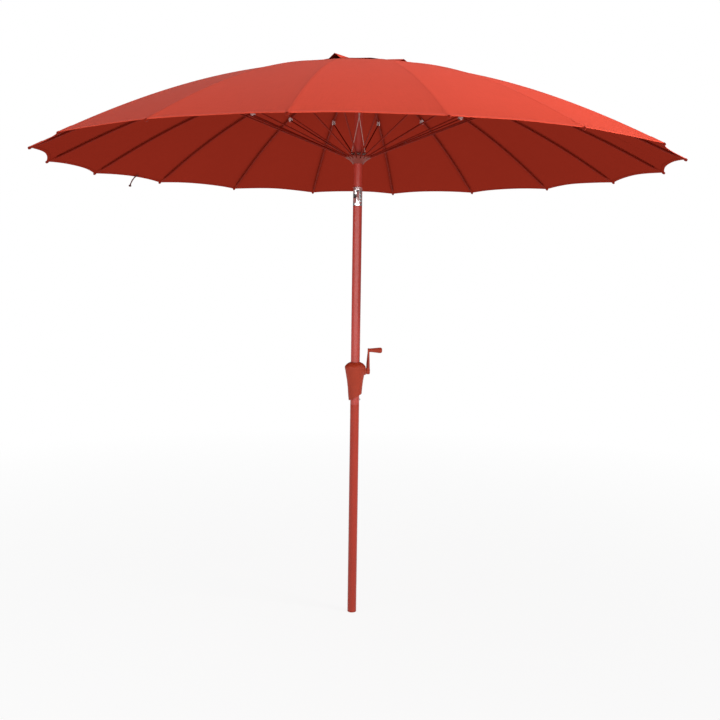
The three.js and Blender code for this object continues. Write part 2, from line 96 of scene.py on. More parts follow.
# ---------- sizes that part.mjs sets ----------
RIM_HEIGHT = 1.895
DOME_RISE = 0.397
DOME_POWER = 1.75
SCALLOP = 0.025
VENT_RADIUS = 0.110
CAP_RADIUS = 0.270
CAP_PEAKS = 6
CAP_TURN = 8  # degrees that the cap sits turned from the ribs
CAP_LIFT = 0.026
RIB_DROP = 0.0085
STRETCHER_FOOT = (0.046, 1.933)

# ---------- sizes of the looks ----------
GORE_SAG = 0.005
FABRIC = 0.0009
HEM_WIDTH = 0.014
CAP_GAP = 0.007  # from the canopy to the cap, at the cap's hem
CAP_BANDS = [0.085, 0.13, CAP_RADIUS]
PEAK_LIFTS = np.array([0.020, 0.024, 0.018, 0.022, 0.019, 0.010])
PEAK_HALF = 5.0  # degrees


# ---------- meshes ----------
def link(name, mesh):
    obj = bpy.data.objects.new(name, mesh)
    bpy.context.scene.collection.objects.link(obj)
    return obj


def smooth(mesh, degrees=35):
    """Smooth shading that breaks at edges sharper than this."""
    bm = bmesh.new()
    bm.from_mesh(mesh)
    limit = math.radians(degrees)
    for face in bm.faces:
        face.smooth = True
    for edge in bm.edges:
        edge.smooth = len(edge.link_faces) != 2 or edge.calc_face_angle(0) < limit
    bm.to_mesh(mesh)
    bm.free()


def build(name, points, faces, uvs=None, sharp=35):
    mesh = bpy.data.meshes.new(name)
    mesh.from_pydata([tuple(p) for p in points], [], faces)
    if uvs is not None:
        layer = mesh.uv_layers.new(name="UVMap")
        corners = np.zeros(len(mesh.loops), np.int32)
        mesh.loops.foreach_get("vertex_index", corners)
        layer.data.foreach_set("uv", np.asarray(uvs, np.float32)[corners].ravel())
    mesh.update()
    if sharp:
        smooth(mesh, sharp)
    return link(name, mesh)


def rounded(outline, radius, steps=3):
    """The outline with each inner corner replaced by an arc of about this radius."""
    points = [Vector((r, z)) for r, z in outline]
    made = [points[0]]
    for before, corner, after in zip(points, points[1:], points[2:]):
        a, b = before - corner, after - corner
        reach = min(radius, a.length * 0.45, b.length * 0.45)
        start, end = corner + a.normalized() * reach, corner + b.normalized() * reach
        for k in range(steps + 1):
            t = k / steps
            made.append((1 - t) ** 2 * start + 2 * t * (1 - t) * corner + t * t * end)
    made.append(points[-1])
    return [(p.x, p.y) for p in made]


def profile(inner, outer, low, high):
    """The outline of a ring, or of a disc where inner is 0."""
    return [(inner, low), (outer, low), (outer, high), (inner, high)]


def braced(outline):
    """The outline with a point near each end of a long run, so that it shades as straight."""
    reach = 0.002
    made = [outline[0]]
    for (r0, z0), (r1, z1) in zip(outline, outline[1:]):
        run = math.hypot(r1 - r0, z1 - z0)
        if run > 5 * reach:
            for t in (reach / run, 1 - reach / run):
                made.append((r0 + (r1 - r0) * t, z0 + (z1 - z0) * t))
        made.append((r1, z1))
    return made


def lathe(name, outline, segments=48, along="Z", at=(0, 0, 0)):
    """A surface turned about an axis from [radius, height] points. It isn't closed from the last
    point back to the first, so a form is only closed where both of them are on the axis."""
    angles = [math.radians(360 * k / segments) for k in range(segments)]
    points, faces, uvs, rows = [], [], [], []
    for r, z in braced(outline):
        if r < 1e-9:
            rows.append([len(points)] * segments)
            points.append((0, 0, z))
            uvs.append((0, z))
            continue
        rows.append([len(points) + k for k in range(segments)])
        points += [(r * math.cos(a), r * math.sin(a), z) for a in angles]
        uvs += [(r * a, z) for a in angles]
    for lower, upper in zip(rows, rows[1:]):
        for k in range(segments):
            n = (k + 1) % segments
            loop = [lower[k], lower[n], upper[n], upper[k]]
            loop = [v for i, v in enumerate(loop) if v != loop[i - 1]]
            if len(loop) > 2:
                faces.append(loop)
    obj = build(name, points, faces, uvs, 0)
    if along == "X":
        obj.data.transform(Matrix.Rotation(math.pi / 2, 4, "Y"))
    if along == "Y":
        obj.data.transform(Matrix.Rotation(-math.pi / 2, 4, "X"))
    obj.data.transform(Matrix.Translation(at))
    face_out(obj.data)
    smooth(obj.data)
    return obj


def face_out(mesh):
    bm = bmesh.new()
    bm.from_mesh(mesh)
    bmesh.ops.recalc_face_normals(bm, faces=bm.faces)
    bm.to_mesh(mesh)
    bm.free()


def tube(name, points, radii, sides=10, flat=None):
    """A tube through points. radii is one radius or one for each point, and flat the share of it
    that the tube is wide across its own side direction."""
    points = [Vector(p) for p in points]
    count = len(points)
    radii = [radii] * count if isinstance(radii, (int, float)) else radii
    flat = [1] * count if flat is None else flat
    side, rows, verts, uvs, length = None, [], [], [], 0
    for k, point in enumerate(points):
        ahead = points[min(k + 1, count - 1)] - points[max(k - 1, 0)]
        ahead.normalize()
        if side is None:
            side = ahead.cross(Vector((0, 0, 1)))
            if side.length < 0.1:
                side = Vector((1, 0, 0))
        side = (side - ahead * side.dot(ahead)).normalized()
        up = side.cross(ahead)
        length += (point - points[k - 1]).length if k else 0
        rows.append(len(verts))
        for s in range(sides):
            a = 2 * math.pi * s / sides
            verts.append(point + radii[k] * (side * math.cos(a) * flat[k] + up * math.sin(a)))
            uvs.append((s / sides, length))
    faces = []
    for low, high in zip(rows, rows[1:]):
        for s in range(sides):
            n = (s + 1) % sides
            faces.append((low + s, low + n, high + n, high + s))
    faces.append(tuple(reversed(range(rows[0], rows[0] + sides))))
    faces.append(tuple(range(rows[-1], rows[-1] + sides)))
    obj = build(name, verts, faces, uvs, 0)
    face_out(obj.data)
    smooth(obj.data, 50)
    return obj


def box(name, low, high, bevel=0.0):
    low, high = Vector(low), Vector(high)
    mesh = bpy.data.meshes.new(name)
    bm = bmesh.new()
    bmesh.ops.create_cube(bm, size=1)
    for v in bm.verts:
        v.co = [(low[i] + high[i]) / 2 + v.co[i] * (high[i] - low[i]) for i in range(3)]
    if bevel:
        bmesh.ops.bevel(bm, geom=bm.edges[:], offset=bevel, segments=3, affect="EDGES", profile=0.5)
    bm.to_mesh(mesh)
    bm.free()
    smooth(mesh, 40)
    return link(name, mesh)


def applied(obj):
    """The object with its modifiers made part of its mesh."""
    bpy.context.view_layer.update()
    evaluated = obj.evaluated_get(bpy.context.evaluated_depsgraph_get())
    mesh = bpy.data.meshes.new_from_object(evaluated)
    obj.modifiers.clear()
    obj.data = mesh
    return obj


def combine(target, tool, operation):
    """Changes target by a boolean with tool, and removes tool."""
    modifier = target.modifiers.new("cut", "BOOLEAN")
    modifier.operation = operation
    modifier.object = tool
    modifier.solver = "EXACT"
    applied(target)
    bpy.data.objects.remove(tool)
    return target


def soften(obj, width, segments=3, degrees=30):
    """Rounds every edge sharper than degrees."""
    modifier = obj.modifiers.new("bevel", "BEVEL")
    modifier.width = width
    modifier.segments = segments
    modifier.limit_method = "ANGLE"
    modifier.angle_limit = math.radians(degrees)
    modifier.use_clamp_overlap = True
    modifier.harden_normals = False
    smooth(applied(obj).data, 40)
    return obj


def merge(name, objects):
    """One object from several."""
    bm = bmesh.new()
    for obj in objects:
        bm.from_mesh(obj.data)
        bpy.data.objects.remove(obj)
    mesh = bpy.data.meshes.new(name)
    bm.to_mesh(mesh)
    bm.free()
    return link(name, mesh)


def copy_turned(obj, name, degrees):
    """The same mesh, turned about the pole's axis."""
    mesh = obj.data.copy()
    mesh.transform(Matrix.Rotation(math.radians(degrees), 4, "Z"))
    return link(name, mesh)


# ---------- materials ----------
class Look:
    """A Principled material and the nodes that drive it."""

    def __init__(self, name, roughness=0.5, metallic=0.0, **sockets):
        self.material = bpy.data.materials.new(name)
        self.material.use_nodes = True
        self.tree = self.material.node_tree
        self.shader = self.tree.nodes["Principled BSDF"]
        self.shader.inputs["Roughness"].default_value = roughness
        self.shader.inputs["Metallic"].default_value = metallic
        for socket, value in sockets.items():
            self.shader.inputs[socket.replace("_", " ")].default_value = value
        self.place = self.node("ShaderNodeTexCoord").outputs["Object"]

    def node(self, kind, **settings):
        made = self.tree.nodes.new(kind)
        for key, value in settings.items():
            setattr(made, key, value)
        return made

    def join(self, source, target):
        if hasattr(source, "is_linked"):
            self.tree.links.new(source, target)
        else:
            target.default_value = source

    def math(self, operation, *values):
        made = self.node("ShaderNodeMath", operation=operation)
        for value, socket in zip(values, made.inputs):
            self.join(value, socket)
        return made.outputs[0]

    def noise(self, scale, detail=3.0, vector=None):
        made = self.node("ShaderNodeTexNoise")
        self.join(vector or self.place, made.inputs["Vector"])
        made.inputs["Scale"].default_value = scale
        made.inputs["Detail"].default_value = detail
        return made.outputs[0]

    def scaled(self, vector, scale):
        made = self.node("ShaderNodeMapping")
        self.join(vector, made.inputs["Vector"])
        made.inputs["Scale"].default_value = scale
        return made.outputs[0]

    def spread(self, value, low, high, to_low, to_high):
        made = self.node("ShaderNodeMapRange")
        for number, socket in zip((value, low, high, to_low, to_high), made.inputs):
            self.join(number, socket)
        return made.outputs[0]

    def blend(self, share, first, second):
        made = self.node("ShaderNodeMix", data_type="RGBA")
        self.join(share, made.inputs["Factor"])
        self.join(first, made.inputs[6])
        self.join(second, made.inputs[7])
        return made.outputs[2]

    def colour(self, source):
        self.join(source, self.shader.inputs["Base Color"])

    def roughness(self, source):
        self.join(source, self.shader.inputs["Roughness"])

    def bump(self, height, distance, strength=1.0):
        made = self.node("ShaderNodeBump")
        made.inputs["Strength"].default_value = strength
        made.inputs["Distance"].default_value = distance
        self.join(height, made.inputs["Height"])
        previous = self.shader.inputs["Normal"]
        if previous.is_linked:
            self.join(previous.links[0].from_socket, made.inputs["Normal"])
        self.join(made.outputs[0], previous)


def shade(colour, factor):
    return tuple(min(1, c * factor) for c in colour[:3]) + (1,)


def painted(name, colour, gloss):
    """Powder-coated metal: orange peel, faint unevenness, and paler worn edges."""
    look = Look(name, 0.34, Coat_Weight=gloss * 0.5, Coat_Roughness=0.22, Specular_IOR_Level=gloss)
    uneven = look.spread(look.noise(7), 0.3, 0.7, 0, 1)
    base = look.blend(uneven, shade(colour, 0.95), shade(colour, 1.05))
    edge = look.node("ShaderNodeNewGeometry").outputs["Pointiness"]
    worn = look.math("MULTIPLY", look.spread(edge, 0.53, 0.6, 0, 0.5), look.noise(160))
    look.colour(look.blend(worn, base, shade(colour, 1.5)))
    look.roughness(look.spread(look.noise(40), 0.3, 0.7, 0.28, 0.42))
    look.bump(look.noise(700, 2), 0.00006, 0.15)
    return look.material


def moulded(name, colour, grain=0.25, roughness=0.52):
    """Injection-moulded plastic: a fine spark-eroded grain, slight mottling and rubbed edges."""
    look = Look(name, roughness, Specular_IOR_Level=0.25)
    mottle = look.spread(look.noise(18), 0.3, 0.7, 0, 1)
    base = look.blend(mottle, shade(colour, 0.93), shade(colour, 1.06))
    edge = look.node("ShaderNodeNewGeometry").outputs["Pointiness"]
    rubbed = look.math("MULTIPLY", look.spread(edge, 0.52, 0.6, 0, 0.6), look.noise(220))
    look.colour(look.blend(rubbed, base, shade(colour, 1.5)))
    look.roughness(look.spread(look.noise(60), 0.3, 0.7, roughness - 0.07, roughness + 0.08))
    look.bump(look.noise(1500, 1), 0.0001, grain)
    return look.material


def plated(name, colour, roughness, scratch):
    """Metal with fine turning marks round its axis and faint smears."""
    look = Look(name, roughness, 0.85)
    lines = look.noise(40, 2, look.scaled(look.place, (1, 1, 60)))
    smear = look.spread(look.noise(30), 0.35, 0.7, 0, 1)
    look.colour(look.blend(smear, shade(colour, 0.96), shade(colour, 1.03)))
    look.roughness(look.spread(look.noise(55), 0.3, 0.75, roughness * 0.6, roughness * 1.7))
    look.bump(lines, 0.00004, scratch)
    return look.material


def woven(name, colour, thread, seams, roughness=0.85, fuzz=0.35):
    """Plain-woven fabric with slubs, sun-faded patches, and stitch lines where seams says.
    UV is metres across the gore from its rib, and metres in from the hem."""
    look = Look(name, roughness, Sheen_Weight=fuzz, Sheen_Roughness=0.45, Specular_IOR_Level=0)
    uv = look.node("ShaderNodeTexCoord").outputs["UV"]
    split = look.node("ShaderNodeSeparateXYZ")
    look.join(uv, split.inputs[0])
    across, inward = split.outputs[0], split.outputs[1]
    yarn = 2 * math.pi / 0.0011
    warp = look.math("SINE", look.math("MULTIPLY", across, yarn))
    weft = look.math("SINE", look.math("MULTIPLY", inward, yarn))
    weave = look.math("MULTIPLY", warp, weft)
    slub_across = look.noise(1, 2, look.scaled(uv, (900, 14, 1)))
    slub_along = look.noise(1, 2, look.scaled(uv, (14, 900, 1)))
    slub = look.math("MULTIPLY", look.math("ADD", slub_across, slub_along), 0.5)
    faded = look.spread(look.noise(2.2), 0.3, 0.7, 0, 1)
    base = look.blend(faded, shade(colour, 0.97), shade(colour, 1.03))
    base = look.blend(look.spread(slub, 0.35, 0.65, 0, 1), base, shade(colour, 0.88))
    stitched = 0.0
    for line, run, where in seams:
        place = across if line == "rib" else inward
        along = inward if line == "rib" else across
        gap = look.math("ABSOLUTE", look.math("SUBTRACT", look.math("ABSOLUTE", place), where))
        on_line = look.math("LESS_THAN", gap, 0.0005)
        dash = look.math("LESS_THAN", look.math("FRACT", look.math("DIVIDE", along, run)), 0.68)
        stitched = look.math("MAXIMUM", stitched, look.math("MULTIPLY", on_line, dash))
    look.colour(look.blend(stitched, base, thread))
    look.roughness(look.spread(slub, 0.3, 0.7, roughness - 0.08, roughness + 0.06))
    look.bump(weave, 0.00008, 0.3)
    look.bump(slub, 0.00012, 0.35)
    look.bump(stitched, 0.0005, 0.8)
    return look.material


def braided(name, colour, painted_groove_shade):
    """A braided cord: two sets of strands that cross, with the gaps between them in a darker colour as
    painted shade. UV is the turn round it, and its length.
    """
    look = Look(name, 0.8, Sheen_Weight=0.06, Specular_IOR_Level=0.15)
    uv = look.node("ShaderNodeTexCoord").outputs["UV"]
    split = look.node("ShaderNodeSeparateXYZ")
    look.join(uv, split.inputs[0])
    turn = look.math("MULTIPLY", split.outputs[0], 2 * math.pi * 4)
    along = look.math("MULTIPLY", split.outputs[1], 2 * math.pi / 0.0035)
    one = look.math("SINE", look.math("ADD", turn, along))
    other = look.math("SINE", look.math("SUBTRACT", turn, along))
    strands = look.math("MAXIMUM", one, other)
    # The gaps between the strands take the darker colour, painted shade.
    look.colour(look.blend(look.spread(strands, -0.3, 0.9, 0, 1), painted_groove_shade, colour))
    look.bump(strands, 0.0004, 0.8)
    look.bump(look.noise(2500, 2), 0.0001, 0.4)
    return look.material


STITCHES = [("hem", 0.0036, 0.0125), ("rib", 0.0036, 0.0042)]
FABRIC_TOP = woven("fabric_top", (0.58, 0.057, 0.030), (0.44, 0.040, 0.022, 1), STITCHES, 0.85, 0.035)
# The cloth's underside: a darker copy of the top cloth and its thread, painted shade for the side that faces
# away from the lights.
FABRIC_UNDER_PAINTED_SHADE = woven("fabric_under", (0.27, 0.022, 0.011), (0.18, 0.012, 0.006, 1), STITCHES, 0.9, 0.0)
HEM_TAPE = woven("hem_tape", (0.62, 0.066, 0.036), (0.47, 0.045, 0.026, 1), STITCHES[:1], 0.85, 0.035)
PAINT = painted("red_powder_coat", (0.42, 0.038, 0.024), 0.45)
# A darker, less glossy copy of the pole's paint for the lower pole: the darker colour is painted shade.
LOWER_POLE_PAINTED_SHADE = painted("lower_pole_powder_coat", (0.35, 0.025, 0.009), 0.28)
# Far darker than the pole's paint: partly the ribs' own darker coat, partly painted shade under the canopy.
# The stretchers use it too.
RIB_PAINT_AND_PAINTED_SHADE = painted("rib_powder_coat", (0.17, 0.011, 0.005), 0.02)
PLASTIC = moulded("red_plastic", (0.32, 0.031, 0.010))
# A darker copy of the red plastic for the runner and the crown hub: painted shade from the canopy over them.
RUNNER_PLASTIC_PAINTED_SHADE = moulded("runner_plastic", (0.20, 0.027, 0.016))
CLIP_PLASTIC = moulded("pale_plastic", (0.60, 0.46, 0.45), 0.15, 0.4)
# Near-black plastic for the crank bushing and the line pulley; the same material is put on the tilt tongue's
# inner faces as painted shade.
DARK_PLASTIC_AND_PAINTED_SHADE = moulded("dark_plastic", (0.05, 0.045, 0.045), 0.3, 0.5)
CHROME = plated("chrome", (0.93, 0.93, 0.94), 0.07, 0.12)
STEEL = plated("steel", (0.56, 0.57, 0.58), 0.3, 0.4)
# The second colour of each cord is painted shade in the gaps between its strands.
LINE = braided("lift_line_cord", (0.78, 0.55, 0.50, 1), (0.45, 0.24, 0.21, 1))
TIE = braided("tie_cord_braid", (0.13, 0.018, 0.014, 1), (0.035, 0.006, 0.005, 1))


def dress(obj, material, body=None, replaces=()):
    """Material, the CAD body it rides on, and the CAD nodes it stands for."""
    if material is not None:
        obj.data.materials.clear()
        obj.data.materials.append(material)
    if body:
        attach(obj, body)
    if replaces:
        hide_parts(*replaces)
    return obj


# ---------- camera and cords ----------
def make_camera():
    data = bpy.data.cameras.new("camera")
    data.lens = 44.8
    camera = link("camera", data)
    stand = (-0.0787, -3.7582, 1.4686)
    heading, pitch, roll = math.radians(88.5), math.radians(5.69), math.radians(0.85)
    turn = Matrix.Rotation(heading - math.pi / 2, 4, "Z")
    turn = turn @ Matrix.Rotation(math.pi / 2 - pitch, 4, "X") @ Matrix.Rotation(roll, 4, "Z")
    camera.matrix_world = Matrix.Translation(stand) @ turn
    bpy.context.scene.camera = camera


def polar(r, degrees, z):
    return Vector((r * math.cos(math.radians(degrees)), r * math.sin(math.radians(degrees)), z))


def eased(points, per_span=4):
    """More points on a smooth curve through the given ones."""
    points = [Vector(p) for p in points]
    padded = [2 * points[0] - points[1], *points, 2 * points[-1] - points[-2]]
    made = []
    for a, b, c, d in zip(padded, padded[1:], padded[2:], padded[3:]):
        for k in range(per_span):
            t = k / per_span
            made.append(0.5 * (2 * b + (c - a) * t + (2 * a - 5 * b + 4 * c - d) * t * t
                               + (3 * b - a - 3 * c + d) * t ** 3))
    return [*made, points[-1]]


TIE_AZIMUTH = 149.5
TIE_ROUTE = [
    (1.203, 1.907), (1.211, 1.9045), (1.219, 1.901), (1.227, 1.8965), (1.2345, 1.890),
    (1.2415, 1.8825), (1.2475, 1.8745), (1.2525, 1.866), (1.2565, 1.857),
]
TIE_RADIUS = 0.0028
TIE_RIB = 7  # the strip it hangs from, counted from 0


def tie_cord():
    """The short tie that hangs from the hem, with a knot at its end."""
    route = eased([polar(r, TIE_AZIMUTH, z) for r, z in TIE_ROUTE], 3)
    cord = tube("tie", route, TIE_RADIUS, 12)
    end = route[-1]
    loops = []
    for k in range(60):
        a = 2 * math.pi * k / 60
        loops.append(end + Vector((
            0.0034 * (math.sin(a) + 0.5 * math.sin(2 * a)),
            0.0034 * (math.cos(a) - 0.5 * math.cos(2 * a)),
            0.0030 * math.sin(3 * a) + 0.002,
        )))
    knot = tube("tie_knot", [*loops, loops[0]], 0.0019)
    dress(cord, TIE, replaces=["tie_cord"])
    dress(knot, TIE)
    for piece in (cord, knot):
        fold_with(piece, TIE_RIB)


# ---------- canopy ----------
def canopy_height(r):
    return RIM_HEIGHT + DOME_RISE * (1 - (r / TIP_RADIUS) ** DOME_POWER)


def canopy_surface(radius, azimuth):
    """Points on the canopy's outer face. radius is measured along the ribs, and a hem corner is
    at TIP_RADIUS. Between two ribs the cloth runs straight, dips a little, and draws in at the hem."""
    turns = azimuth / GORE
    rib = np.floor(turns + 1e-9)
    share = turns - rib
    middle = 4 * share * (1 - share)
    outward = radius / TIP_RADIUS
    r = radius - SCALLOP * middle * outward ** 8
    left, right = np.radians(rib * GORE), np.radians((rib + 1) * GORE)
    x = r * (np.cos(left) * (1 - share) + np.cos(right) * share)
    y = r * (np.sin(left) * (1 - share) + np.sin(right) * share)
    from_rib = radius * np.radians(GORE) * np.minimum(share, 1 - share)
    seam = 0.0004 * np.clip(1.6 - from_rib / 0.006, 0, 1)
    ripple = 0.0011 * middle * np.sin(rib * 2.4 + 9 * outward) * np.sin(7 * share + rib)
    z = canopy_height(r) - GORE_SAG * middle * outward ** 3 + seam + ripple * outward
    return np.stack([x, y, z], -1)


def cap_surface(radius, azimuth):
    """Points on the vent cap's outer face, which stands up in six uneven folds."""
    sector = 360 / CAP_PEAKS
    turned = azimuth - CAP_TURN + sector / 2
    offset = np.abs(turned % sector - sector / 2)
    peak = PEAK_LIFTS[np.floor(turned / sector).astype(int) % CAP_PEAKS]
    outward = radius / CAP_RADIUS
    lift = CAP_LIFT + (CAP_GAP - CAP_LIFT) * outward
    fold = peak * np.clip(1 - offset / PEAK_HALF, 0, 1) * outward ** 2
    dip = 0.0025 * np.sin(np.pi * np.clip((offset - PEAK_HALF) / (30 - PEAK_HALF), 0, 1)) * outward
    angle = np.radians(azimuth)
    z = canopy_height(radius) + lift + fold - dip
    return np.stack([radius * np.cos(angle), radius * np.sin(angle), z], -1)


def normals_of(surface, radius, azimuth):
    step_r, step_a = 0.0008, 0.04
    along = surface(radius + step_r, azimuth) - surface(radius - step_r, azimuth)
    round_it = surface(radius, azimuth + step_a) - surface(radius, azimuth - step_a)
    normal = np.cross(along, round_it)
    return normal / np.linalg.norm(normal, axis=-1, keepdims=True)


def azimuths_of(rib, offsets):
    """The azimuths at these degrees from a rib, with a strip's edges kept just inside it."""
    inside = np.where(offsets < 0, 1e-5, -1e-5) * (np.abs(offsets) > GORE / 2 - 1e-3)
    return offsets + rib * GORE + 360 + inside


def cloth_strip(name, surface, rib, radii, offsets, hem_radius):
    """Two layers of cloth centred on a rib. offsets are degrees from it. The normals come from the
    whole surface, so that neighbouring strips meet without a line."""
    grid_r, grid_o = np.meshgrid(np.array(radii), np.array(offsets), indexing="ij")
    azimuths = azimuths_of(rib, grid_o)
    top = surface(grid_r, azimuths)
    normal = normals_of(surface, grid_r, azimuths)
    under = top - normal * FABRIC
    rows, columns = grid_r.shape
    across = grid_r * np.radians(grid_o)
    inward = hem_radius - grid_r
    points = np.concatenate([top.reshape(-1, 3), under.reshape(-1, 3)])
    uvs = np.stack([np.tile(across.ravel(), 2), np.tile(inward.ravel(), 2)], -1)
    faces = two_layers(rows, columns)
    cells = (rows - 1) * (columns - 1)
    obj = build(name, points, faces, uvs, 0)
    mesh = obj.data
    mesh.polygons.foreach_set("use_smooth", [True] * len(faces))
    mesh.polygons.foreach_set("material_index", [0] * cells + [1] * (len(faces) - cells))
    # The lower layer takes the darker underside cloth, which is painted shade.
    for material in (FABRIC_TOP, FABRIC_UNDER_PAINTED_SHADE):
        mesh.materials.append(material)
    both = np.concatenate([normal.reshape(-1, 3), -normal.reshape(-1, 3)])
    wanted = [tuple(both[v]) for face in faces[:2 * cells] for v in face]
    for polygon in list(mesh.polygons)[2 * cells:]:
        wanted += [tuple(polygon.normal)] * 4
    mesh.normals_split_custom_set(wanted)
    return obj


def two_layers(rows, columns):
    """Faces of an upper grid, of a lower one that faces down, and of the rim that joins them."""
    faces, lower = [], rows * columns
    for layer in (0, lower):
        for i in range(rows - 1):
            for j in range(columns - 1):
                a = layer + i * columns + j
                loop = (a, a + columns, a + columns + 1, a + 1)
                faces.append(loop if layer == 0 else loop[::-1])
    ring = [i * columns for i in range(rows)]
    ring += [(rows - 1) * columns + j for j in range(1, columns)]
    ring += [i * columns + columns - 1 for i in range(rows - 2, -1, -1)]
    ring += list(range(columns - 2, 0, -1))
    for a, b in zip(ring, ring[1:] + ring[:1]):
        faces.append((a, a + lower, b + lower, b))
    return faces


def fold_with(obj, rib):
    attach(obj, f"rib_{rib + 1:02d}")
    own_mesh(obj)


def rib_drop(r):
    """How far a rib's middle is below the cloth: less in its last few centimetres."""
    end = min(1, max(0, (r - TIP_RADIUS + 0.09) / 0.09))
    return RIB_DROP - 0.0048 * end * end * (3 - 2 * end)


def rib_height(r):
    return canopy_height(r) - rib_drop(r)


def strip_offsets(radius):
    """Degrees from the rib: close together at its seam, then even."""
    half = GORE / 2
    seam = [math.degrees(x / radius) for x in (0.003, 0.0055, 0.0085)]
    rest = [seam[-1] + (half - seam[-1]) * k / 7 for k in range(1, 8)]
    right = [*seam, *rest]
    return [-x for x in reversed(right)] + [0] + right


BANDS = [VENT_RADIUS, 0.20, 0.32, 0.50, 0.76, TIP_RADIUS]


def steps_between(low, high, size):
    count = max(2, round((high - low) / size))
    return [low + (high - low) * k / count for k in range(count + 1)]


def hem_tape(rib, offsets):
    """The folded edge: a tape over the strip's last few millimetres and round its rim."""
    radii = [TIP_RADIUS - HEM_WIDTH, TIP_RADIUS - HEM_WIDTH + 0.001, TIP_RADIUS - 0.004, TIP_RADIUS]
    proud = [0.0001, 0.0007, 0.0009, 0.0008]
    above = list(zip(radii, proud))
    route = [*above, (TIP_RADIUS + 0.0012, -FABRIC / 2)]
    route += [(radius, -FABRIC - height) for radius, height in reversed(above)]
    angles = azimuths_of(rib, np.array(offsets))
    lines, inward = [], []
    for radius, height in route:
        ring = np.full(len(offsets), radius)
        normal = normals_of(canopy_surface, ring, angles)
        lines.append(canopy_surface(ring, angles) + normal * height)
        inward.append(max(0, TIP_RADIUS - radius))
    columns = len(offsets)
    across = TIP_RADIUS * np.radians(offsets)
    uvs = [(across[j], inward[i]) for i in range(len(lines)) for j in range(columns)]
    faces = [
        (i * columns + j, (i + 1) * columns + j, (i + 1) * columns + j + 1, i * columns + j + 1)
        for i in range(len(lines) - 1) for j in range(columns - 1)
    ]
    obj = build(f"hem_{rib + 1:02d}", np.concatenate(lines), faces, uvs, 60)
    # The tape's underside takes the darker underside cloth, painted shade.
    for material in (HEM_TAPE, FABRIC_UNDER_PAINTED_SHADE):
        obj.data.materials.append(material)
    for i, face in enumerate(obj.data.polygons):
        face.material_index = int(i // (columns - 1) >= len(radii))
    dress(obj, None)
    fold_with(obj, rib)
    return obj


def corner_pocket(rib):
    """The sewn pocket for a rib's tip: a flat patch on the cloth that runs into a snug sleeve below."""
    rows, columns = 14, 15
    length, patch = 0.046, 0.013
    points, uvs = [], []
    for side in (1, -1):
        for i in range(rows):
            t = i / (rows - 1)
            radius = TIP_RADIUS + 0.0025 - length * (1 - t)
            half = (patch if side == 1 else 0.0062) * (0.72 + 0.28 * math.sin(math.pi / 2 * min(1, t * 1.5)))
            half *= 1 - 0.42 * max(0, (t - 0.86) / 0.14) ** 2
            for j in range(columns):
                s = 2 * j / (columns - 1) - 1
                offset = math.degrees(half * s / TIP_RADIUS)
                place = np.array([radius]), np.array([rib * GORE + offset + 360])
                base = canopy_surface(*place)[0]
                edge = max(0, 1 - s ** 6) ** 0.5
                below = FABRIC + 0.0005 + (rib_drop(min(radius, TIP_RADIUS)) + 0.0026) * (1 - s * s) ** 0.5
                rise = 0.0011 * edge if side == 1 else -below
                points.append(base + np.array([0, 0, rise]))
                uvs.append((half * s, TIP_RADIUS - radius))
    obj = build(f"pocket_{rib + 1:02d}", points, two_layers(rows, columns), uvs, 60)
    face_out(obj.data)
    for material in (FABRIC_TOP, FABRIC_UNDER_PAINTED_SHADE):
        obj.data.materials.append(material)
    for face in obj.data.polygons:
        # Faces that point down take the darker underside cloth, painted shade.
        face.material_index = int(face.normal.z < 0)
    dress(obj, None)
    fold_with(obj, rib)
    return obj


def canopy():
    for rib in range(RIBS):
        number = f"{rib + 1:02d}"
        for band, (low, high) in enumerate(zip(BANDS, BANDS[1:])):
            offsets = strip_offsets(high)
            strip = cloth_strip(
                f"gore_{number}_{band + 1}", canopy_surface, rib, steps_between(low, high, 0.03),
                offsets, TIP_RADIUS,
            )
            extra = []
            if high == TIP_RADIUS:
                extra = [hem_tape(rib, offsets), corner_pocket(rib)]
            dress(strip, None)
            fold_with(strip, rib)
            if rib == 0 and band == 0:
                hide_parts("canopy")


def vent_cap():
    hub_start = 0.010
    offsets = [k * GORE / 2 / 10 for k in range(-10, 11)]
    for rib in range(RIBS):
        number = f"{rib + 1:02d}"
        hub = cloth_strip(
            f"cap_hub_{number}", cap_surface, rib, steps_between(hub_start, CAP_BANDS[0], 0.012),
            offsets, CAP_RADIUS,
        )
        dress(hub, None)
        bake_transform(hub)
        for band, (low, high) in enumerate(zip(CAP_BANDS, CAP_BANDS[1:])):
            flap = cloth_strip(
                f"cap_flap_{number}_{band + 1}", cap_surface, rib, steps_between(low, high, 0.02),
                offsets, CAP_RADIUS,
            )
            dress(flap, None)
            fold_with(flap, rib)
            if rib == 0 and band == 0:
                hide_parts("vent_cap")


# ---------- ribs and stretchers ----------
def first_rib():
    """A flat eye at the crown, a round bar, and a slimmer rod with a bead at its tip."""
    radii = [CROWN_HINGE.x + out for out in (-0.003, 0.004, 0.009, 0.013)]
    bar_end = TIP_RADIUS - 0.09
    radii += [0.065 + (bar_end - 0.065) * k / 40 for k in range(41)]
    tip = [
        (0.03, 0.0038), (0.06, 0.0036), (0.078, 0.0034), (0.082, 0.0030), (0.084, 0.0034),
        (0.0855, 0.0046), (0.088, 0.0054), (0.091, 0.0055), (0.094, 0.0046), (0.0956, 0.0026),
    ]
    thick = [0.0036] * 3 + [0.004] * 42 + [t for _, t in tip]
    radii += [bar_end + out - 0.002 for out, _ in tip]
    flat = [0.66, 0.66, 0.68, 0.9] + [1] * (len(radii) - 4)
    return tube("rib", [(r, 0, rib_height(r)) for r in radii], thick, 12, flat)


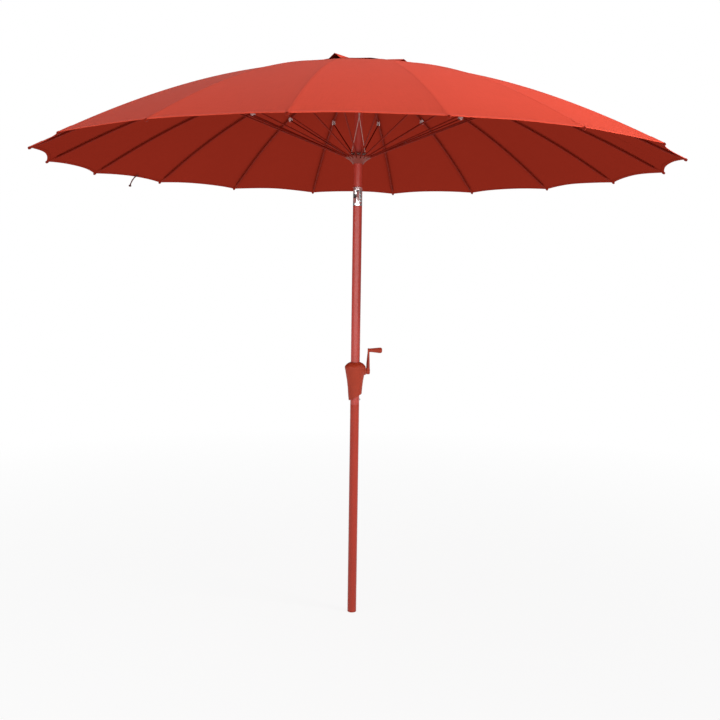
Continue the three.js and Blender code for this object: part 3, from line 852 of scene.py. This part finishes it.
def first_clip():
    """The moulded saddle that carries a stretcher's hinge under the rib."""
    fall = math.atan2(rib_height(CLIP_HINGE.x - 0.01) - rib_height(CLIP_HINGE.x + 0.01), 0.02)
    saddle = lathe("saddle", rounded(profile(0.0043, 0.0062, -0.011, 0.011), 0.0012), 24, "X")
    cheeks = []
    for side in (-1, 1):
        low = (-0.009, side * 0.0043 - 0.0013, -0.0135)
        high = (0.009, side * 0.0043 + 0.0013, -0.003)
        cheeks.append(box(f"cheek{side}", low, high, 0.0011))
    pin = lathe("pin", rounded(profile(0, 0.0024, -0.0068, 0.0068), 0.0007), 16, "Y")
    for obj in (saddle, *cheeks):
        obj.data.transform(Matrix.Rotation(fall, 4, "Y"))
        obj.data.transform(Matrix.Translation((CLIP_HINGE.x, 0, rib_height(CLIP_HINGE.x))))
    pin.data.transform(Matrix.Translation(CLIP_HINGE))
    return merge("clip", [saddle, *cheeks, pin])


def first_stretcher():
    foot = Vector((STRETCHER_FOOT[0], 0, STRETCHER_FOOT[1]))
    run = CLIP_HINGE - foot
    ahead = run.normalized()
    stops = [-0.003, 0.004, 0.010, 0.016] + [0.03 + (run.length - 0.06) * k / 12 for k in range(13)]
    stops += [run.length - 0.014, run.length - 0.008, run.length, run.length + 0.003]
    thick = [0.0034, 0.0036, 0.0034, 0.003] + [0.0029] * 13 + [0.003, 0.0034, 0.0036, 0.0026]
    flat = [0.66, 0.66, 0.72, 0.9] + [1] * 13 + [0.9, 0.72, 0.66, 0.66]
    return tube("stretcher", [foot + ahead * s for s in stops], thick, 12, flat)


def ribs_and_stretchers():
    rib, clip, stretcher = first_rib(), first_clip(), first_stretcher()
    for k in range(RIBS):
        number = f"{k + 1:02d}"
        made = copy_turned(rib, "rod_" + number, k * GORE)
        dress(made, RIB_PAINT_AND_PAINTED_SHADE, "rib_" + number, ["rib_" + number])
        made = copy_turned(clip, "clip_" + number, k * GORE)
        dress(made, CLIP_PLASTIC, "rib_" + number)
        made = copy_turned(stretcher, "strut_" + number, k * GORE)
        dress(made, RIB_PAINT_AND_PAINTED_SHADE, "stretcher_" + number, ["stretcher_" + number])
    for obj in (rib, clip, stretcher):
        bpy.data.objects.remove(obj)


# ---------- poles ----------
def poles():
    """The three tubes have only their outer walls, and the foot cap is solid."""
    wall, plug = 0.0015, 0.0043
    bore = POLE_RADIUS - wall
    spigot, spigot_top = 0.0171, 0.992
    outline = [
        (bore, plug), (POLE_RADIUS, plug), (POLE_RADIUS, JOINT_HEIGHT - 0.0003),
        (spigot, JOINT_HEIGHT - 0.0003), (spigot, spigot_top), (spigot - wall, spigot_top),
    ]
    lower = lathe("lower_tube", rounded(outline, 0.0006, 2), 64)
    hole = lathe("hole", profile(0, 0.0041, 0.008, 0.024), 24, "X", (0, 0, SNAP_HEIGHT))
    lower = combine(lower, hole, "DIFFERENCE")
    smooth(lower.data)
    # The lower tube takes the darker copy of the paint, painted shade.
    dress(lower, LOWER_POLE_PAINTED_SHADE, "pole", ["lower_pole"])

    outline = rounded(profile(bore, POLE_RADIUS, JOINT_HEIGHT, TILT_BASE), 0.0007, 2)
    dress(lathe("middle_tube", outline, 64), PAINT, "pole", ["middle_pole"])

    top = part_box("upper_pole")[1].z
    outline = rounded(profile(UPPER_RADIUS - wall, UPPER_RADIUS, TILT_TOP - SOCKET, top), 0.0005, 2)
    dress(lathe("upper_tube", outline, 64), PAINT, "upper", ["upper_pole"])

    shank, rim, foot_top = bore - 0.0004, 0.004, 0.025
    outline = [(0, 0), (POLE_RADIUS, 0), (POLE_RADIUS, rim), (shank, rim), (shank, foot_top), (0, foot_top)]
    foot = lathe("foot_cap", rounded(outline, 0.0012), 64)
    dress(foot, PLASTIC, "pole", ["foot_plug"])


# ---------- crank ----------
def housing_radius(z):
    outline = [
        (0.912, 0.0243), (0.928, 0.0265), (0.940, 0.0279), (0.976, 0.0306), (1.007, 0.0342),
        (1.050, 0.0418), (1.0615, 0.0443), (1.0650, 0.0445), (1.0680, 0.0432), (1.0748, 0.0378),
        (1.0803, 0.0315), (1.0838, 0.0260), (1.085, 0.0210),
    ]
    return float(np.interp(z, [p[0] for p in outline], [p[1] for p in outline]))


def housing_half(name, start):
    """One moulded half of the housing: its outer face, rolled edges, and foot cut on a slant."""
    columns, rows, gap = 33, 46, 0.00025
    foot, foot_slope, top = 0.9365, 29 / 55, 1.0845
    points, uvs = [], []
    for i in range(rows):
        t = i / (rows - 1)
        for j in range(columns):
            a = math.radians(start + 180 * j / (columns - 1))
            low = foot
            for _ in range(12):
                low = foot + foot_slope * housing_radius(low) * math.cos(a)
            z = top + (low - top) * (1 - (1 - t) ** 1.6)
            r = housing_radius(z)
            y = r * math.sin(a)
            edge = gap if start == 0 else -gap
            points.append((r * math.cos(a), y + edge, z))
            uvs.append((r * a, z))
    faces = [
        (i * columns + j, i * columns + j + 1, (i + 1) * columns + j + 1, (i + 1) * columns + j)
        for i in range(rows - 1) for j in range(columns - 1)
    ]
    obj = build(name, points, faces, uvs, 0)
    face_out(obj.data)
    modifier = obj.modifiers.new("wall", "SOLIDIFY")
    modifier.thickness = 0.003
    modifier.offset = -1
    return soften(obj, 0.0007, 2, 50)


def crank():
    front = housing_half("housing_front_shell", 180)
    back = housing_half("housing_back_shell", 0)
    dress(front, PLASTIC, "pole", ["housing_front"])
    dress(back, PLASTIC, "pole", ["housing_back"])
    collar = [
        (0.030, 0.024), (0.0245, 0.028), (0.0205, 0.032), (0.0175, 0.0365), (0.0158, 0.041),
        (0.0152, 0.0452), (0.0120, 0.0456), (0.0064, 0.0456),
    ]
    dress(
        lathe("crank_collar", rounded(collar, 0.0012), 48, "X", (0, 0, CRANK_HEIGHT)),
        PLASTIC, "pole",
    )
    lever()
    grip = [
        (0.0035, 0.0596), (0.0072, 0.0596), (0.0080, 0.0610), (0.0080, 0.0650), (0.0086, 0.0720),
        (0.0098, 0.0840), (0.0112, 0.0960), (0.0118, 0.1020), (0.0116, 0.1060), (0.0104, 0.1095),
        (0.0080, 0.1116), (0.0045, 0.1124), (0, 0.1125),
    ]
    dress(
        lathe("crank_grip", grip, 40, "X", (0, 0, KNOB_HEIGHT)),
        PLASTIC, "crank_knob", ["crank_knob"],
    )


def lever():
    """The crank's arm: a round hub, a web that narrows and thins towards the grip, and a wedge-shaped
    recess in each of its faces."""
    reach = KNOB_HEIGHT - CRANK_HEIGHT
    outline = [(0, 0.0462), (0.0132, 0.0462), (0.0132, 0.0600), (0.0100, 0.0622), (0, 0.0622)]
    hub = lathe("hub", rounded(outline, 0.0025, 4), 40, "X", (0, 0, CRANK_HEIGHT))
    stations = [
        (-0.002, 0.0466, 0.0614, 0.0122), (0.012, 0.0463, 0.0614, 0.0108),
        (0.026, 0.0464, 0.0610, 0.0092), (0.050, 0.0482, 0.0602, 0.0080),
        (0.072, 0.0503, 0.0596, 0.0074), (reach, 0.0518, 0.0592, 0.0078),
    ]
    points, faces, sides = [], [], 20
    for up, near, far, half in stations:
        for s in range(sides):
            a = 2 * math.pi * s / sides
            c, d = math.cos(a), math.sin(a)
            squared = (abs(c) ** 6 + abs(d) ** 6) ** (-1 / 6)
            out = (near + far) / 2 + (far - near) / 2 * c * squared
            points.append((out, half * d * squared, CRANK_HEIGHT + up))
    for i in range(len(stations) - 1):
        for s in range(sides):
            n = (s + 1) % sides
            faces.append((i * sides + s, i * sides + n, (i + 1) * sides + n, (i + 1) * sides + s))
    faces.append(tuple(reversed(range(sides))))
    faces.append(tuple(range((len(stations) - 1) * sides, len(stations) * sides)))
    web = build("web", points, faces, None, 45)
    for side in (-1, 1):
        outline = [
            (0.0478, 0.0165), (0.0548, 0.0150), (0.0538, 0.070), (0.0519, 0.074), (0.0512, 0.070),
            (0.0484, 0.030),
        ]
        bottom, mouth = side * 0.0022, side * 0.02
        corners = [(x, y, CRANK_HEIGHT + up) for y in (bottom, mouth) for x, up in outline]
        n = len(outline)
        walls = [(k, (k + 1) % n, n + (k + 1) % n, n + k) for k in range(n)]
        lids = [tuple(range(n)), tuple(range(2 * n - 1, n - 1, -1))]
        wedge = build("wedge", corners, [*walls, *lids], None, 0)
        face_out(wedge.data)
        web = combine(web, wedge, "DIFFERENCE")
    web = soften(web, 0.0006, 2, 40)
    outline = rounded(profile(0, 0.0080, 0.0514, 0.0592), 0.0018, 4)
    eye = lathe("eye", outline, 32, "X", (0, 0, KNOB_HEIGHT))
    arm = merge("crank_lever", [hub, web, eye])
    smooth(arm.data, 40)
    dress(arm, PLASTIC, "crank", ["crank_arm"])


# ---------- tilt joint ----------
def tilt_joint():
    """A chrome fork and tongue with the rivet they turn on, and the push button below it. They are
    made with the rivet along X, and then turned about the pole to where the hinge's axis points."""
    axis = JOINTS["canopy_tilt"]["axis"]
    azimuth = math.degrees(math.atan2(axis[1], axis[0]))
    cheek, gap, drop = 0.0152, 0.0108, 0.0158
    seat = TILT_HEIGHT - drop

    def place(obj, material, slot, body, node):
        obj.data.transform(Matrix.Rotation(math.radians(azimuth), 4, "Z"))
        dress(obj, material, body, [node])

    def drum(name, radius, low, high):
        return lathe(name, profile(0, radius, low, high), 64)

    def across(name, radius, low, high, z=TILT_HEIGHT):
        return lathe(name, profile(0, radius, low, high), 48, "X", (0, 0, z))

    fork = drum("tilt_fork", POLE_RADIUS, TILT_BASE + 0.0003, TILT_HEIGHT + 0.016)
    side = combine(box("side", (-0.03, -cheek, seat - 0.002), (0.03, cheek, TILT_HEIGHT)),
                   across("round", cheek, -0.03, 0.03), "UNION")
    side = combine(side, box("low", (-0.03, -0.03, TILT_BASE - 0.01), (0.03, 0.03, seat)), "UNION")
    fork = combine(fork, side, "INTERSECT")
    fork = combine(fork, box("gap", (-gap, -0.03, seat), (gap, 0.03, TILT_TOP)), "DIFFERENCE")
    fork = combine(fork, across("hole", 0.0062, 0.007, 0.03, BUTTON_HEIGHT), "DIFFERENCE")
    place(soften(fork, 0.0006), CHROME, "chrome", "pole", "tilt_base")

    width = gap - 0.0004
    head = combine(drum("tilt_tongue", POLE_RADIUS, TILT_HEIGHT, TILT_TOP),
                   box("middle", (-width, -0.03, TILT_HEIGHT), (width, 0.03, TILT_TOP)), "INTERSECT")
    head = combine(head, across("round", cheek, -width, width), "UNION")
    head = combine(head, drum("top", POLE_RADIUS, TILT_HEIGHT + drop, TILT_TOP), "UNION")
    socket = drum("socket", UPPER_RADIUS + 0.0003, TILT_TOP - 0.006, TILT_TOP + 0.01)
    head = combine(head, socket, "DIFFERENCE")
    place(soften(head, 0.0006), CHROME, "chrome", "upper", "tilt_head")
    # The tongue's faces inside the fork's gap take the near-black plastic: painted shade in the gap, on a
    # part that is chrome.
    head.data.materials.append(DARK_PLASTIC_AND_PAINTED_SHADE)
    for face in head.data.polygons:
        out = math.hypot(face.center.x, face.center.y)
        face.material_index = int(out < 0.0187 and face.center.z < TILT_HEIGHT + 0.0155)

    half = [(0.0028, 0.0186), (0.0045, 0.0186), (0.0045, 0.0194), (0, 0.0194)]
    outline = rounded([(r, -x) for r, x in reversed(half)] + half, 0.0003, 2)
    rivet = lathe("tilt_rivet", outline, 32, "X", (0, 0, TILT_HEIGHT))
    place(rivet, STEEL, "steel", "pole", "tilt_pin")
    outline = [(0, 0.0106), (0.0058, 0.0106), (0.0058, 0.0192), (0.0048, 0.0201), (0, 0.0204)]
    button = lathe("tilt_push", rounded(outline, 0.0008), 40, "X", (0, 0, BUTTON_HEIGHT))
    place(button, CHROME, "chrome", "tilt_button", "tilt_button")


# ---------- runner and crown ----------
def fluted(name, outline, depth):
    """A turned form whose radius dips between ribs where depth says, one value for each point."""
    columns = RIBS * 6
    points, faces = [], []
    for (r, z), dip in zip(outline, depth):
        for k in range(columns):
            a = 2 * math.pi * k / columns
            wave = 0.5 + 0.5 * math.cos(RIBS * a)
            reach = r - dip * (1 - wave) ** 2
            points.append((reach * math.cos(a), reach * math.sin(a), z))
    rows = len(outline)
    for i in range(rows - 1):
        for k in range(columns):
            n = (k + 1) % columns
            low, high = i * columns, (i + 1) * columns
            faces.append((low + k, low + n, high + n, high + k))
    obj = build(name, points, faces, None, 0)
    face_out(obj.data)
    smooth(obj.data, 38)
    return obj


def slots(obj, low, high):
    """A slot for each stretcher's foot, between two heights."""
    cutters = []
    for k in range(RIBS):
        cutter = box("slot", (0.041, -0.0029, low), (0.066, 0.0029, high))
        cutter.data.transform(Matrix.Rotation(math.radians(k * GORE), 4, "Z"))
        cutters.append(cutter)
    return combine(obj, merge("slots", cutters), "DIFFERENCE")


def runner_and_crown():
    outline = [
        (0.0207, 1.9070), (0.0228, 1.9066), (0.0236, 1.9080), (0.0270, 1.9125), (0.0330, 1.9185),
        (0.0400, 1.9238), (0.0475, 1.9275), (0.0520, 1.9300), (0.0530, 1.9330), (0.0527, 1.9368),
        (0.0510, 1.9384), (0.0440, 1.9394), (0.0300, 1.9402), (0.0250, 1.9406), (0.0240, 1.9420),
        (0.0240, 1.9466), (0.0250, 1.9472), (0.0378, 1.9472), (0.0390, 1.9480), (0.0390, 1.9502),
        (0.0380, 1.9510), (0.0213, 1.9510), (0.0207, 1.9504), (0.0207, 1.9070),
    ]
    depth = [0, 0.0002, 0.0003, 0.0005, 0.0008, 0.0011] + [0.0013] * 4 + [0.0009] + [0] * 13
    runner = slots(fluted("runner_hub", outline, depth), 1.915, 1.9430)
    for side in (-1, 1):
        hole = lathe("hole", profile(0, 0.0027, 1.940, 1.960), 20, at=(side * 0.027, -0.022, 0))
        runner = combine(runner, hole, "DIFFERENCE")
    smooth(runner.data, 38)
    # The runner and the crown hub take the darker plastic, which is painted shade.
    dress(runner, RUNNER_PLASTIC_PAINTED_SHADE, "runner", ["runner"])

    crown = frame["nodes"]["crown_hub"]
    dress(crown, RUNNER_PLASTIC_PAINTED_SHADE)
    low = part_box("finial")[0].z
    knob = [
        (0, 0), (0.0065, 0.0003), (0.0125, 0.0012), (0.0150, 0.0026), (0.0152, 0.0042),
        (0.0120, 0.0068), (0.0070, 0.0092), (0.0030, 0.0105), (0, 0.0108),
    ]
    knob = [(r, low + up) for r, up in knob]
    dress(lathe("top_knob", knob, 40), PLASTIC, "upper", ["finial"])


# ---------- lift line ----------
LINE_RADIUS = 0.0013
LINE_OFFSET = 0.009  # from the pole's axis, square to the tilt hinge
PULLEY_GROOVE = 0.0117


def strand(name, top, foot):
    """A straight stretch of lift line between the crown and the runner. The real line lengthens as the
    runner drops; this tube stays as it is made.
    """
    a, b = Vector(top), Vector(foot)
    count = 40
    obj = tube(name, [a.lerp(b, k / count) for k in range(count + 1)], LINE_RADIUS)
    dress(obj, LINE)
    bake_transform(obj)


def lift_line():
    """The visible strands cross in front of the upper pole, and the rest runs inside."""
    azimuth = -35.5
    pulley = Vector(JOINTS["pulley_spin"]["pos_m"])
    out = polar(1, azimuth, 0)
    exit_point = pulley + out * PULLEY_GROOVE
    wrap = []
    for k in range(15):
        a = math.pi * (1 - k / 14)
        rise = Vector((0, 0, PULLEY_GROOVE * math.sin(a)))
        wrap.append(pulley + out * PULLEY_GROOVE * math.cos(a) + rise)
    below = wrap[0] - Vector((0, 0, 0.05))
    route = eased([below, *wrap, exit_point - Vector((0, 0, 0.008))], 2)
    over = tube("line_over_pulley", route, LINE_RADIUS)
    dress(over, LINE, "upper", ["lift_line"])
    right = (exit_point.x * 0.98, exit_point.y, pulley.z - 0.008)
    strand("line_down", right, (-0.0266, -0.022, 1.954))
    strand("line_up", (-0.029, -0.027, CROWN_HINGE.z - 0.0164), (0.0266, -0.0222, 1.954))
    under = eased([
        (-0.0266, -0.022, 1.956), (-0.027, -0.022, 1.9495), (-0.0259, -0.023, 1.9454),
        (-0.020, -0.026, 1.9436), (0, -0.029, 1.9436), (0.020, -0.026, 1.9436),
        (0.0259, -0.023, 1.9454), (0.027, -0.022, 1.9495), (0.0266, -0.0222, 1.956),
    ])
    dress(tube("line_under_runner", under, LINE_RADIUS), LINE, "runner")
    hinge = JOINTS["canopy_tilt"]["axis"]
    x, y = -hinge[1] * LINE_OFFSET, hinge[0] * LINE_OFFSET
    hidden = eased([
        (0, 0.0099, CRANK_HEIGHT), (0, 0.0097, 1.09), (0.002, 0.0088, 1.18), (x, y, 1.45),
        (x, y, 1.70), (x, y, 1.84),
    ], 3)
    inside = tube("line_in_pole", hidden, LINE_RADIUS, 8)
    dress(inside, LINE)
    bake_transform(inside)
    above = eased([(x, y, 1.84), (0.008, -0.0004, 2.02), below], 6)
    dress(tube("line_in_upper", above, LINE_RADIUS, 8), LINE, "upper")


# ---------- the frame's own small parts ----------
def carried_over():
    looks = {
        "snap_button": (STEEL, "steel"), "snap_spring": (STEEL, "steel"), "crank_shaft": (STEEL, "steel"),
        "crank_bushing": (DARK_PLASTIC_AND_PAINTED_SHADE, "grey_plastic"), "line_pulley": (DARK_PLASTIC_AND_PAINTED_SHADE, "grey_plastic"),
    }
    for name, (material, slot) in looks.items():
        node = frame["nodes"][name]
        node.data.materials.clear()
        node.data.materials.append(material)


# ---------- stage ----------
def light(name, place, target, size, power, spread=180):
    data = bpy.data.lights.new(name, "AREA")
    data.shape = "RECTANGLE"
    data.size, data.size_y = size
    data.energy = power
    data.spread = math.radians(spread)
    lamp = link(name, data)
    lamp.location = place
    lamp.rotation_mode = "QUATERNION"
    lamp.rotation_quaternion = (Vector(target) - Vector(place)).to_track_quat("-Z", "Y")


def sky(tree):
    """Dim light all round, and plain white where the camera looks past the object."""
    dim, white = (tree.nodes.new("ShaderNodeBackground") for _ in range(2))
    dim.inputs["Color"].default_value = (1, 1, 1, 1)
    dim.inputs["Strength"].default_value = 0.06
    white.inputs["Color"].default_value = (1, 1, 1, 1)
    rays = tree.nodes.new("ShaderNodeLightPath")
    mix = tree.nodes.new("ShaderNodeMixShader")
    tree.links.new(rays.outputs["Is Camera Ray"], mix.inputs[0])
    tree.links.new(dim.outputs[0], mix.inputs[1])
    tree.links.new(white.outputs[0], mix.inputs[2])
    tree.links.new(mix.outputs[0], tree.nodes["World Output"].inputs[0])


def floor():
    mesh = bpy.data.meshes.new("floor")
    bm = bmesh.new()
    bmesh.ops.create_circle(bm, cap_ends=True, radius=16, segments=96)
    bm.to_mesh(mesh)
    bm.free()
    obj = link("floor", mesh)
    obj.location.z = cad_low.z - 0.0005
    look = Look("pale_floor", 0.8, Specular_IOR_Level=0.1)
    look.colour(look.blend(look.noise(3), (0.84, 0.84, 0.84, 1), (0.87, 0.87, 0.87, 1)))
    glow = look.node("ShaderNodeEmission")
    glow.inputs["Color"].default_value = (1, 1, 1, 1)
    far = look.node("ShaderNodeVectorMath", operation="LENGTH")
    look.join(look.place, far.inputs[0])
    mixed = look.node("ShaderNodeMixShader")
    look.join(look.spread(far.outputs["Value"], 0.3, 4.5, 0.9, 1), mixed.inputs[0])
    look.join(look.shader.outputs[0], mixed.inputs[1])
    look.join(glow.outputs[0], mixed.inputs[2])
    look.join(mixed.outputs[0], look.tree.nodes["Material Output"].inputs[0])
    mesh.materials.append(look.material)


def stage():
    """A white room: a key light from the right, three wide panels in an arc behind the camera that
    show in the pole and the chrome, a weaker light from the left, and a soft one overhead."""
    bpy.context.scene.view_settings.view_transform = "Standard"
    world = bpy.data.worlds.new("studio")
    bpy.context.scene.world = world
    world.use_nodes = True
    sky(world.node_tree)
    floor()
    canopy_middle, pole_middle = (0, -0.3, 2.15), (0, 0, 1.595)
    light("key", polar(3.9, 332, 3.97), canopy_middle, (1.6, 1.6), 32, 60)
    for name, azimuth in (("left", 240), ("middle", 270), ("right", 300)):
        place = polar(4.7, azimuth, pole_middle[2])
        light("front_" + name, place, pole_middle, (2.5, 1.71), 39)
    light("side_left", polar(4.2, 215, 2.9), canopy_middle, (1.6, 1.6), 7.5, 60)
    light("top", (0, 0.6, 5.4), canopy_middle, (2.5, 2.5), 15)


def write_sizes():
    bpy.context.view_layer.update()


make_camera()
tie_cord()
canopy()
vent_cap()
ribs_and_stretchers()
poles()
crank()
tilt_joint()
runner_and_crown()
lift_line()
carried_over()
stage()
write_sizes()
